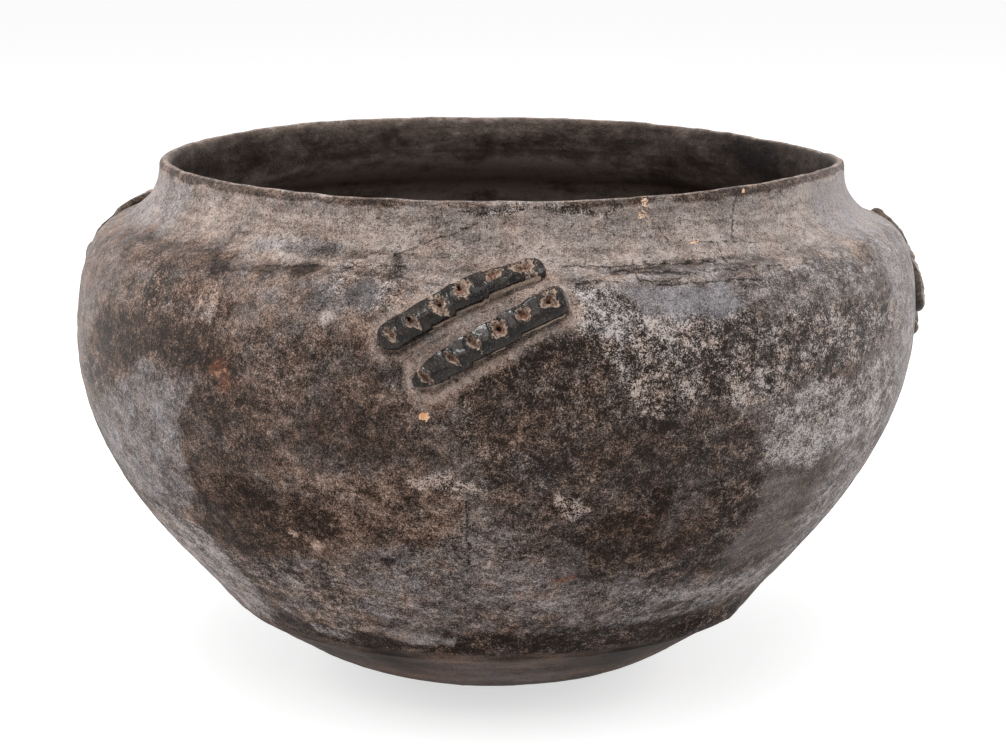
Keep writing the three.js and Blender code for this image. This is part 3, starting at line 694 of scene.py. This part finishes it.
class Nodes:
    """A material's nodes, added one call at a time."""

    def __init__(self, name):
        self.material = bpy.data.materials.new(name)
        self.material.use_nodes = True
        self.tree = self.material.node_tree
        self.shader = self.tree.nodes["Principled BSDF"]
        self.place = self.new("TexCoord").outputs["Object"]

    def new(self, kind, *given):
        """A node of this kind, with its first sockets given."""
        node = self.tree.nodes.new("ShaderNode" + kind)
        for socket, value in zip(node.inputs, given):
            self.set(socket, value)
        return node

    def set(self, socket, value):
        if isinstance(value, bpy.types.NodeSocket):
            self.tree.links.new(value, socket)
        elif value is not None:
            socket.default_value = value

    def math(self, operation, a, b=None, clamp=False):
        node = self.new("Math", a, b)
        node.operation = operation
        node.use_clamp = clamp
        return node.outputs[0]

    def times(self, a, b, clamp=False):
        return self.math("MULTIPLY", a, b, clamp)

    def line(self, value, gain, start):
        """A value times a gain, plus a start."""
        return self.math("ADD", self.times(value, gain), start)

    def vector(self, operation, a, b=None, scale=None):
        node = self.new("VectorMath")
        node.operation = operation
        self.set(node.inputs[0], a)
        self.set(node.inputs[1], b)
        if scale is not None:
            self.set(node.inputs["Scale"], scale)
        return node.outputs["Value" if operation in ("DOT_PRODUCT", "DISTANCE") else "Vector"]

    def about(self, value, gain):
        """A 0 to 1 value set about zero and stretched."""
        return self.times(self.math("SUBTRACT", value, 0.5), gain)

    def total(self, first, *others):
        for value in others:
            first = self.math("ADD", first, value)
        return first

    def scale(self, value, colours):
        """A run of colours, evenly spaced from 0 to 1."""
        node = self.new("ValToRGB", value)
        stops = node.color_ramp.elements
        for i, colour in enumerate(colours):
            place = i / (len(colours) - 1)
            stop = stops[0] if i == 0 else stops[-1] if i == len(colours) - 1 else stops.new(place)
            stop.position = place
            stop.color = (*colour, 1)
        return node.outputs[0]

    def mix(self, share, a, b):
        """A mix of two colours."""
        node = self.new("Mix")
        node.data_type = "RGBA"
        self.set(node.inputs["Factor"], share)
        for socket, value in ((node.inputs[6], a), (node.inputs[7], b)):
            self.set(socket, (*value, 1) if isinstance(value, tuple) else value)
        return node.outputs[2]

    def blend(self, share, a, b):
        """A mix of two numbers."""
        node = self.new("Mix")
        node.data_type = "FLOAT"
        for socket, value in zip((node.inputs["Factor"], node.inputs[2], node.inputs[3]), (share, a, b)):
            self.set(socket, value)
        return node.outputs[0]

    def ramp(self, value, low, high, start=0.0, end=1.0):
        """A soft step from start to end as the value goes from low to high."""
        node = self.new("MapRange", value, low, high, start, end)
        node.interpolation_type = "SMOOTHSTEP"
        return node.outputs[0]

    def stretched(self, scale):
        node = self.new("Mapping", self.place)
        node.inputs["Scale"].default_value = scale
        return node.outputs[0]

    def noise(self, size, detail, roughness, distortion=0.0, place=None, coloured=False):
        """Noise with features about size millimetres across."""
        node = self.new("TexNoise", place or self.place)
        settings = {"Scale": 1 / (size * METRE), "Detail": detail, "Roughness": roughness,
                    "Distortion": distortion}
        for socket, value in settings.items():
            node.inputs[socket].default_value = value
        return node.outputs["Color" if coloured else "Fac"]

    def layer(self, name):
        node = self.new("Attribute")
        node.attribute_name = name
        return node.outputs["Fac"]

    def finish(self, colour, roughness, height):
        """Sets the shader's colour and roughness and a bump whose height is in millimetres."""
        bump = self.new("Bump")
        bump.inputs["Distance"].default_value = METRE
        self.set(bump.inputs["Height"], height)
        for name, value in (("Base Color", colour), ("Roughness", roughness), ("Normal", bump.outputs[0])):
            self.set(self.shader.inputs[name], value)
        return self.material


def srgb(red, green, blue):
    """A colour as a screen shows it, 0 to 255, in linear light."""
    def linear(c):
        c /= 255
        return c / 12.92 if c <= 0.04045 else ((c + 0.055) / 1.055) ** 2.4
    return (linear(red), linear(green), linear(blue))


# The clay from darkest to palest, as it is by itself, where it is brown and where it is blue-grey
NEUTRAL_CLAY = [srgb(28, 22, 18), srgb(64, 56, 51), srgb(105, 95, 90), srgb(147, 136, 130),
                srgb(191, 179, 172)]
BROWN_CLAY = [srgb(31, 22, 17), srgb(74, 58, 49), srgb(122, 99, 86), srgb(164, 139, 124),
              srgb(204, 181, 167)]
COOL_CLAY = [srgb(28, 24, 22), srgb(63, 58, 57), srgb(102, 98, 99), srgb(142, 137, 139),
             srgb(186, 181, 183)]
SMOKED_CLAY = [srgb(24, 19, 17), srgb(60, 50, 45), srgb(98, 86, 79), srgb(146, 134, 126)]
RUST = srgb(108, 60, 38)
OCHRE = srgb(160, 118, 84)
CHIP = srgb(222, 160, 116)
PALE_CHIP = srgb(238, 202, 172)


def crack_lines(n):
    """1 along the cracks and scratches, else 0."""
    axes = n.new("SeparateXYZ", n.place)
    turn = n.math("ARCTAN2", axes.outputs[0], n.times(axes.outputs[1], -1))
    flat = n.new("CombineXYZ", n.times(turn, LIP_RADIUS * METRE), axes.outputs[2])
    wander = n.vector("SUBTRACT", n.noise(5, 4, 0.7, coloured=True), (0.5, 0.5, 0.5))
    wander = n.vector("SCALE", wander, scale=3.5 * METRE)
    place = n.vector("MULTIPLY", n.vector("ADD", flat.outputs[0], wander), (1, 1, 0))
    worn = n.about(n.noise(2.5, 2, 0.6), 1.6 * METRE)
    found = 0.0
    for azimuth, height, end_azimuth, end_height, half_width in CRACKS:
        u, end_u = (math.radians(a) * LIP_RADIUS * METRE for a in (azimuth, end_azimuth))
        v, end_v = height * METRE, end_height * METRE
        line = Vector((end_u - u, end_v - v, 0))
        from_start = n.vector("SUBTRACT", place, (u, v, 0))
        along = n.vector("DOT_PRODUCT", from_start, tuple(line))
        along = n.times(along, 1 / line.length_squared, clamp=True)
        nearest = n.vector("SCALE", tuple(line), scale=along)
        away = n.math("ADD", n.vector("DISTANCE", from_start, nearest), worn)
        found = n.math("MAXIMUM", found, n.ramp(away, half_width * METRE, half_width * 0.2 * METRE))
    return found


def patina(name, gloss, sheen):
    """Smoked clay under a broken pale crust."""
    n = Nodes(name)
    flat = n.stretched((1, 1, 1.25))
    coarse = n.noise(24, 8, 0.6, place=flat)
    middle = n.noise(6.5, 5, 0.62, place=flat)
    streak = n.noise(5, 4, 0.6, place=n.stretched((0.3, 0.3, 1.8)))
    fine = n.noise(1.7, 3, 0.65, 0.8)
    grain = n.noise(0.42, 1, 0.6)
    fleck = n.ramp(n.noise(1.1, 3, 0.7, 1.2), 0.6, 0.72)
    pock = n.ramp(n.noise(1.2, 3, 0.7, 1.2), 0.41, 0.3)
    tone, lace = n.layer("tone"), n.layer("lace")
    pale = n.ramp(tone, 0.3, 0.65)
    cracks = crack_lines(n)
    value = n.total(
        tone,
        n.times(n.about(coarse, 1), n.line(lace, 0.8, 0.25)),
        n.times(n.about(middle, 1), n.line(lace, 2.1, 0.2)),
        n.times(n.about(streak, 1.2), n.layer("streak")),
        n.times(n.about(fine, 1), n.line(lace, 2.4, 0.25)),
        n.times(n.about(grain, 1), n.line(lace, 2.2, 0.6)),
        n.times(n.times(fleck, n.ramp(tone, 0.7, 0.4, 0.2, 1)), n.line(lace, 0.45, 0.08)),
        n.times(pock, n.line(pale, -0.34, -0.08)),
        n.times(cracks, -0.33),
    )
    # Where the crust is whole, its palest parts are much alike
    over = n.math("MAXIMUM", n.math("SUBTRACT", value, n.line(lace, 0.3, 0.76)), 0)
    value = n.math("SUBTRACT", value, n.times(over, 0.65))
    hue = n.noise(9, 6, 0.7)
    warm = n.ramp(n.math("ADD", n.layer("warm"), n.about(hue, 1.6)), 0, 1)
    colour = n.mix(warm, n.scale(value, NEUTRAL_CLAY), n.scale(value, BROWN_CLAY))
    cool = n.ramp(n.math("ADD", n.layer("cool"), n.about(hue, -1.4)), 0, 1)
    colour = n.mix(cool, colour, n.scale(value, COOL_CLAY))
    # Rust stains and chips
    rusty = n.total(n.about(n.layer("rust"), 1.0), n.about(middle, 1.6), n.about(fine, 1.4))
    stain = n.mix(n.ramp(fine, 0.52, 0.7), RUST, OCHRE)
    colour = n.mix(n.ramp(rusty, -0.05, 0.7, 0, 0.65), colour, stain)
    chipped = n.total(n.about(n.layer("chip"), 1.0), n.about(fine, 1.6), n.about(grain, 0.5))
    chip = n.mix(n.ramp(fine, 0.44, 0.6), CHIP, PALE_CHIP)
    colour = n.mix(n.ramp(chipped, -0.1, 0.15), colour, chip)
    # The inside: brown, smoked, wiped round
    wiped = n.noise(9, 6, 0.65, place=n.stretched((0.35, 0.35, 1.6)))
    smoky = n.total(tone, n.about(wiped, 1.1), n.about(middle, 0.9), n.about(fine, 0.4), n.about(grain, 0.3))
    colour = n.mix(n.layer("inside"), colour, n.scale(smoky, SMOKED_CLAY))
    roughness = n.ramp(value, 0.2, 0.8, 0.5, 0.62)
    # The bump rises and falls with the same noises as the colour, so the clay is darker where it lies low
    height = n.total(n.times(fine, 0.5), n.times(grain, 0.22), n.times(middle, 0.3),
                     n.times(pock, -0.3), n.times(cracks, -0.4))
    n.shader.inputs["Specular IOR Level"].default_value = gloss
    n.shader.inputs["Sheen Weight"].default_value = sheen
    n.shader.inputs["Sheen Roughness"].default_value = 0.35
    n.shader.inputs["Sheen Tint"].default_value = (1, 0.96, 0.94, 1)
    return n.finish(colour, roughness, height)


def burnished():
    """Black burnished clay, bare and tan in the pinched pits, with a line of slip along the lower edge."""
    n = Nodes("burnished_strip")
    fine = n.noise(0.8, 5, 0.7)
    small = n.noise(0.5, 3, 0.7, 0.8)
    middle = n.noise(4, 4, 0.6)
    pit = n.ramp(n.math("ADD", n.layer("pit"), n.about(fine, 2.0)), 0.38, 0.7)
    edge = n.ramp(n.math("ADD", n.layer("edge"), n.about(middle, 1.2)), 0.4, 0.6)
    colour = n.mix(n.ramp(middle, 0.4, 0.64), srgb(15, 12, 11), srgb(42, 34, 30))
    # Pale specks on the black clay, partly dust and partly painted highlight broken into small glints
    colour = n.mix(n.ramp(fine, 0.56, 0.72, 0, 0.6), colour, srgb(114, 101, 92))
    colour = n.mix(n.ramp(small, 0.56, 0.68, 0, 0.45), colour, srgb(112, 103, 96))
    dusty = n.mix(n.ramp(fine, 0.38, 0.62), srgb(66, 53, 45), srgb(112, 94, 80))
    colour = n.mix(n.ramp(n.math("ADD", n.layer("dust"), n.about(middle, 0.9)), 0.3, 0.7), colour, dusty)
    bare = n.mix(n.ramp(fine, 0.36, 0.62), srgb(68, 52, 44), srgb(162, 139, 124))
    bare = n.mix(n.ramp(small, 0.52, 0.4, 0, 0.7), bare, srgb(56, 41, 34))
    bare = n.mix(n.times(n.layer("rust"), n.ramp(fine, 0.62, 0.42)), bare, srgb(122, 66, 42))
    worn_rim = n.times(n.layer("rim"), n.ramp(fine, 0.44, 0.56, 0, 0.8))
    colour = n.mix(pit, colour, n.mix(worn_rim, bare, srgb(182, 162, 147)))
    slip = n.mix(n.ramp(small, 0.35, 0.6), srgb(120, 102, 90), srgb(178, 158, 142))
    colour = n.mix(edge, colour, slip)
    # Painted shade darkens the holes and the middles of the pits
    hole = n.ramp(n.math("ADD", n.layer("hole"), n.about(small, 0.8)), 0.3, 0.8)
    colour = n.mix(hole, colour, srgb(33, 23, 18))
    rough = n.math("MAXIMUM", pit, edge)
    roughness = n.blend(rough, n.ramp(fine, 0.4, 0.7, 0.08, 0.3), 0.95)
    n.shader.inputs["Specular IOR Level"].default_value = 0.2
    rough_height = n.total(n.times(fine, 0.5), n.times(small, 0.25))
    smooth_height = n.total(n.times(fine, 0.035), n.times(middle, 0.12))
    return n.finish(colour, roughness, n.blend(rough, smooth_height, rough_height))


# The pinched pits, measured from the middle of their strip: place along it, place across it, half length
# across, half width along, depth of the hole, the hole's place across, and how rusty the middle is
FRONT_PITS = {
    "upper": [(-23.3, 0.2, 2.9, 1.5, 0.2, 0, 0.2), (-15.7, 0.1, 3.6, 1.7, 1.4, 1.7, 0.1),
              (-6.6, 0.4, 4.0, 2.4, 1.2, 0.2, 0.3), (1.2, 1.0, 3.4, 3.2, 1.2, 1.4, 0.9),
              (11.7, 0.5, 2.4, 3.0, 0.3, 0, 0.7), (21.5, -0.5, 4.3, 5.2, 0.3, 2, 0.3)],
    "lower": [(-22.2, 0, 3.4, 1.5, 0.2, 1, 0.3), (-12.4, 0.4, 3.0, 1.3, 0.2, 0, 0.6),
              (-4.6, 1.1, 3.4, 2.2, 0.3, 0, 0.3), (3.8, 0.5, 3.6, 2.5, 0.8, 0.3, 0.9),
              (11.8, 1.0, 2.9, 2.6, 0.5, 0.4, 0.9), (20.3, 0.7, 3.2, 3.2, 1.2, -0.2, 0.6)],
}
# Where the lower edge steps up, along the strip from its middle
FRONT_STEPS = {"upper": [-11.9, -3.8, 6.6], "lower": [-16.5, -8, 8.5]}
FRONT_SLIPS = {"upper": [(-13, 25)], "lower": [(-2, 3), (9, 24)]}  # where slip is squeezed out under it
SLIP_WIDTH, SLIP_RISE = 0.22, 0.7
POINTED_ENDS = {"upper": -0.08, "lower": 0.3}  # how much of its width a strip loses towards its left end
ROUND_ENDS, SQUARE_ENDS = (2.2, 2.2), (3.2, 2.8)  # how square the left and the right end are; 2 is round
# The clay between one pit and the next: its height, and its face's fall to the upper edge and the right end
FRONT_LUMPS = {
    "upper": [(0, 0.35, 0.1), (-0.2, 0.52, 0.12), (-0.2, 0.52, 0.1), (-0.3, 0.3, -0.1), (-0.2, 0.15, 0.05),
              (-0.3, 0.1, 0), (-0.2, 0, 0)],
    "lower": [(-0.3, 0.1, 0.2), (-0.25, 0.56, 0.12), (-0.2, 0.56, 0.12), (-0.2, 0.5, 0.1), (-0.1, 0.3, 0),
              (0, 0.2, 0), (0.1, 0.1, -0.2)],
}
PIT_LEAN = math.radians(21)  # the pits run across the strip, leaning this far from square
PINCH_SPACING = 8.8
# What chance sets in a pit: its shift along, then the values from its place across to its rust
CHANCE_PIT = ((-0.9, 0.9), (0, 1.4), (2.4, 3.4), (1.1, 2.4), (0.2, 1.3), (-0.3, 1.4), (0.1, 0.9))
CHANCE_LUMP = ((-0.3, 0.3), (0, 0.55), (-0.15, 0.15))
SIDE_PRESS = 0.45  # how deep the pits of the side and back strips are, as a share of the front ones'
LEFT_RISE = 0.8  # how high the left pair stands, as a share of its solids
FRONT_DUST, SIDE_DUST = 0.1, 0.55
STATIONS, STRIP_POINTS = 230, 72


def strip_details(name, length, random):
    """The pits, steps, slip and lumps of a strip: the front ones as in the photo, the others by chance."""
    level = name.split("_")[-1]
    if "front" in name:
        return FRONT_PITS[level], FRONT_STEPS[level], FRONT_SLIPS[level], FRONT_LUMPS[level]
    count = int((length - PINCH_SPACING / 2) // PINCH_SPACING) + 1
    first = -(count - 1) * PINCH_SPACING / 2
    pits = []
    for i in range(count):
        shift, *shape = (random.uniform(low, high) for low, high in CHANCE_PIT)
        pits.append((first + i * PINCH_SPACING + shift, *shape))
    steps = sorted(random.uniform(-length / 3, length / 3, 3))
    lumps = [tuple(random.uniform(low, high) for low, high in CHANCE_LUMP) for _ in range(count + 1)]
    return pits, steps, [tuple(sorted(random.uniform(-25, 25, 2)))], lumps


def strip_outline(along, length, steps, pits, ends, pointed):
    """Half widths above and below the strip's centreline, and how much of its width its ends keep."""
    from_end = np.clip((length / 2 + 0.5 - np.abs(along)) / (STRIP_WIDTH / 2), 0, 1)
    power = np.where(along < 0, *ends)
    rounding = np.clip(1 - (1 - from_end) ** power, 0, 1) ** (1 / power)
    swell = sum(np.exp(-(((along - pit[0]) / 3.2) ** 2)) for pit in pits)
    below = np.full(along.shape, 0.86)
    starts = [-length / 2, *steps]
    for start, end in zip(starts, [*steps, length / 2]):
        share = smoothstep(along, start - 0.5, start + 0.5) * smoothstep(along, end + 0.5, end - 0.5)
        below = below + share * 0.24 * np.clip((along - start) / (end - start), 0, 1)
    above = 1.02 - 0.12 * swell
    half = rounding * STRIP_WIDTH / 2 * (1 - pointed * smoothstep(along, -length * 0.27, -length * 0.48))
    return half * above, half * below, rounding


def pit_shapes(along, across, points, pits):
    """How deep the pits press in, and how far places are in a pit, on its rim, in painted shade and in rust.
    """
    press, bare, rim, hole, rust = (np.zeros(across.shape) for _ in range(5))
    for at, off, half_across, half_along, deep, hole_off, rusty in pits:
        wobble = 0.6 * fractal(points + 31 * at, 1.9, 3, 141)
        u, v = along - at, across - off
        lean_u = math.cos(PIT_LEAN) * u + math.sin(PIT_LEAN) * v
        lean_v = math.cos(PIT_LEAN) * v - math.sin(PIT_LEAN) * u
        reach = np.abs(lean_u / half_along) ** 1.5 + np.abs(lean_v / half_across) ** 1.5
        reach = reach ** (1 / 1.5) + wobble
        bare = np.maximum(bare, 1 - smoothstep(reach, 0.5, 1.5))
        rim = np.maximum(rim, smoothstep(reach, 0.5, 0.8) * (1 - smoothstep(reach, 1, 1.3)))
        groove = 0.35 * np.exp(-((lean_u / 1.1) ** 2)) * np.exp(-((lean_v / 4.2) ** 4))
        sunk = 1.5 * (1 - smoothstep(reach, 0.2, 1.0)) - 0.35 * np.exp(-(((reach - 1.1) / 0.16) ** 2))
        hole_here = 1 - smoothstep(np.hypot(lean_u / 0.75, (lean_v - hole_off) / 1.0) + wobble, 0.6, 1.25)
        # Painted shade in the hole and, fainter, over the pit's middle
        hole = np.maximum(hole, np.maximum(hole_here * min(1, deep), 0.3 * (1 - smoothstep(reach, 0.1, 0.8))))
        rust = np.maximum(rust, rusty * (1 - smoothstep(reach, 0.3, 0.75)))
        press = press + groove + sunk + 0.8 * deep * hole_here
    return press, bare, rim, hole, rust


def lumps_between(along, across, pits, lumps):
    """The height that the clay between one pit and the next is pressed down to."""
    lean = math.cos(PIT_LEAN) * along + math.sin(PIT_LEAN) * across
    height, fall, drop = (np.full(across.shape, float(value)) for value in lumps[0])
    middle = np.full(across.shape, pits[0][0] - PINCH_SPACING / 2)
    for pit, lump in zip(pits, lumps[1:]):
        crossing = math.cos(PIT_LEAN) * pit[0] + math.sin(PIT_LEAN) * pit[1]
        share = smoothstep(lean, crossing - 0.4, crossing + 0.4)
        height, fall, drop = (lerp(old, new, share) for old, new in zip((height, fall, drop), lump))
        middle = lerp(middle, pit[0] + PINCH_SPACING / 2, share)
    return STRIP_RISE + height - fall * (across - 0.5) - drop * (along - middle)


def cordon(name, azimuth, distance, length, hand, seed):
    """A pinched strip: a low loaf along the wall with steps in its lower edge and a pit at each pinch."""
    level, front = name.split("_")[-1], "front" in name
    pits, steps, slips, lumps = strip_details(name, length, np.random.default_rng(seed))
    path = strip_path(azimuth, distance, length + 1.0, hand, STATIONS)
    a, d, heading, along = path.T[:, :, None]
    # The half turn above 0 is the dome, the other half is the seat, set a little into the wall
    turn = np.linspace(math.pi, -math.pi, STRIP_POINTS, endpoint=False)[None, :] + 0 * a
    line = np.stack([along, 0 * along, 0 * along + 9 * seed], axis=-1)
    ragged = along + 1.2 * value_noise(line, 2.5, 151)
    ends_power = SQUARE_ENDS if level == "lower" else ROUND_ENDS
    upper, lower, rounding = strip_outline(ragged, length, steps, pits, ends_power, POINTED_ENDS[level])
    c = np.cos(turn)
    across = np.where(c > 0, upper, lower) * np.sign(c) * np.abs(c) ** 0.85
    crest = np.sqrt(rounding) * (STRIP_RISE + 0.3) * np.clip(np.sin(turn), 0, 1) ** 0.62
    # The slip squeezed out along the lower edge stands out a little from the strip
    shares = [smoothstep(along, start - 1, start + 1) * smoothstep(along, end + 1, end - 1)
              for start, end in slips]
    slip = sum(shares, 0 * along) * (c < 0) * smoothstep(rounding, 0.3, 0.8)
    pale_edge = slip * smoothstep(np.abs(c), 0.95, 0.975)
    slip = slip * smoothstep(np.abs(c), 0.955, 0.99)
    across = across - SLIP_WIDTH * slip * (0.8 + 0.6 * (ragged - along))
    crest = lerp(crest, np.minimum(crest, SLIP_RISE), slip)
    on_dome = np.sin(turn) > 0.02
    at_azimuth = a - hand * across * np.sin(heading) / outside(d)[..., 0]
    at_distance = d + across * np.cos(heading)
    seat = handmade(turned(outside(at_distance), at_azimuth))
    press, bare, rim, hole, rust = pit_shapes(along, across, seat, pits)
    body = np.clip(crest / 1.5, 0, 1)
    pressed = lumps_between(along, across, pits, lumps)
    crest = np.minimum(crest, np.maximum(pressed, 0.35 * crest))
    press = np.where(on_dome, np.minimum(press * body * (1 if front else SIDE_PRESS), 0.8 * crest), 0)
    rise = LEFT_RISE if "left" in name else 1
    wall = relief(at_azimuth, at_distance, seat, paint(at_azimuth, at_distance, seat))
    lump = 0.12 * fractal(seat + 7 * seed, 4, 3, 131 + seed) * body
    proud = wall + np.where(on_dome, crest * rise - press * rise + lump, -0.6)
    points = seat + turned(normal(at_distance), at_azimuth) * proud[..., None]
    flat = np.vstack([points.reshape(-1, 3), points[0].mean(0), points[-1].mean(0)])
    quads = grid_faces(STATIONS, STRIP_POINTS)
    last = (STATIONS - 1) * STRIP_POINTS
    ends = np.vstack([fan(len(flat) - 2, 0, STRIP_POINTS, False),
                      fan(len(flat) - 1, last, STRIP_POINTS, True)])
    if hand < 0:
        quads, ends = quads[:, ::-1], ends[:, ::-1]
    piece = make_mesh(name + "_fine", flat, quads, ends)
    worn = 0.28 * smoothstep(along, -6, 8) * name.endswith("upper")
    dust = on_dome * (FRONT_DUST if front else SIDE_DUST)
    layers = {"pit": np.maximum(bare, worn) * on_dome, "rim": rim * on_dome, "hole": hole * on_dome,
              "rust": rust * on_dome, "edge": pale_edge, "dust": dust}
    for layer, values in layers.items():
        add_layer(piece.data, layer, np.concatenate([values.ravel(), [0, 0]]))
    return piece


def give(piece, node, material):
    piece.data.materials.append(material)
    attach(piece, "root")
    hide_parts(node)


def build_walls():
    lap, axis = LAP_LENGTH, 0.8
    material = patina("patina", 0.08, 0.05)
    low_material = patina("low_patina", 0.03, 0.0)
    rings = [
        ("base_bowl", "base_clay", low_material,
         (axis, BASE_SEAM, 66), (BASE_SEAM + lap, axis, 27), 3, None),
        ("lower_wall", "wall_clay", low_material,
         (BASE_SEAM, LOWER_SEAM, 68), (LOWER_SEAM + lap, BASE_SEAM + lap, 22), 3, 3),
        ("shoulder_wall", "shoulder_clay", material,
         (LOWER_SEAM, NECK_SEAM, 68), (NECK_SEAM + lap, LOWER_SEAM + lap, 22), 3, 3),
        ("neck_rim", "neck_clay", material,
         (NECK_SEAM, LENGTH, 30), (LENGTH, NECK_SEAM + lap, 14), None, 3, True),
    ]
    for node, slot, material, *shape in rings:
        give(wall_piece(node + "_fine", *shape), node, material)


def build_cordons():
    material = burnished()
    for seed, (name, *place) in enumerate(strip_middles()):
        give(cordon(name, *place, seed), name, material)


# The photograph's view
CAMERA_DISTANCE = 900
CAMERA_HEIGHT = 295.6
CAMERA_PITCH = 11.94
CAMERA_YAW = 0.16  # to the right, which sets the pot's axis 7 px left of the middle
SENSOR_WIDTH = 36
FOCAL_PIXELS = 2519.3
PHOTO_WIDTH = 1006


def add_camera():
    data = bpy.data.cameras.new("camera")
    data.sensor_width = SENSOR_WIDTH
    data.lens = FOCAL_PIXELS / PHOTO_WIDTH * SENSOR_WIDTH
    camera = add_object("camera", data)
    camera.location = Vector((0, -CAMERA_DISTANCE, CAMERA_HEIGHT)) * METRE
    camera.rotation_euler = (math.radians(90 - CAMERA_PITCH), 0, math.radians(-CAMERA_YAW))
    bpy.context.scene.camera = camera


def seen_directly(tree):
    """1 for the camera and for what it sees in reflections or through glass."""
    path = tree.nodes.new("ShaderNodeLightPath")
    largest = path.outputs["Is Camera Ray"]
    for name in ("Is Glossy Ray", "Is Transmission Ray"):
        node = tree.nodes.new("ShaderNodeMath")
        node.operation = "MAXIMUM"
        tree.links.new(largest, node.inputs[0])
        tree.links.new(path.outputs[name], node.inputs[1])
        largest = node.outputs[0]
    return largest


WORLD_LIGHT = 0.55  # how strong the white surroundings light the pot; they are seen at 1
FLOOR_COLOUR, FLOOR_GLOW, FLOOR_HALF = (0.6, 0.6, 0.6, 1), 0.62, 6
# Lamps: name, place and size in metres, and power in watts
LAMPS = [
    ("key", (-0.15, -0.9, 1.6), 1.4, 15),
    ("glint", (-0.38, -0.3, 1.35), 0.24, 7.5),
    ("left", (-1.3, 0.25, 0.55), 1.0, 12),
    ("right", (1.3, 0.25, 0.55), 1.0, 12),
]


def ranged(tree, start, end):
    """start where a thing lights the pot, and end where it is seen."""
    node = tree.nodes.new("ShaderNodeMapRange")
    tree.links.new(seen_directly(tree), node.inputs[0])
    node.inputs[3].default_value = start
    node.inputs[4].default_value = end
    return node.outputs[0]


def add_world():
    world = bpy.data.worlds.new("studio")
    world.use_nodes = True
    tree = world.node_tree
    background = tree.nodes["Background"]
    background.inputs["Color"].default_value = (1, 1, 1, 1)
    tree.links.new(ranged(tree, WORLD_LIGHT, 1), background.inputs["Strength"])
    bpy.context.scene.world = world


def add_lamp(name, place, size, power):
    data = bpy.data.lights.new(name, "AREA")
    data.shape = "SQUARE"
    data.size = size
    data.energy = power
    lamp = add_object(name, data)
    lamp.location = place
    lamp.rotation_euler = (Vector((0, 0, 0.1)) - lamp.location).to_track_quat("-Z", "Y").to_euler()


def add_floor():
    """A pale floor that keeps the pot's shadow."""
    n = Nodes("floor")
    settings = {"Base Color": FLOOR_COLOUR, "Roughness": 1, "Specular IOR Level": 0,
                "Emission Color": (1, 1, 1, 1), "Emission Strength": ranged(n.tree, 0, FLOOR_GLOW)}
    for name, value in settings.items():
        n.set(n.shader.inputs[name], value)
    mesh = bpy.data.meshes.new("floor")
    corners = [(x * FLOOR_HALF, y * FLOOR_HALF, 0) for x, y in ((-1, -1), (1, -1), (1, 1), (-1, 1))]
    mesh.from_pydata(corners, [], [(0, 1, 2, 3)])
    mesh.materials.append(n.material)
    add_object("floor", mesh)


add_camera()
add_world()
for lamp in LAMPS:
    add_lamp(*lamp)
add_floor()
build_walls()
build_cordons()

bpy.context.scene.view_settings.view_transform = "Standard"
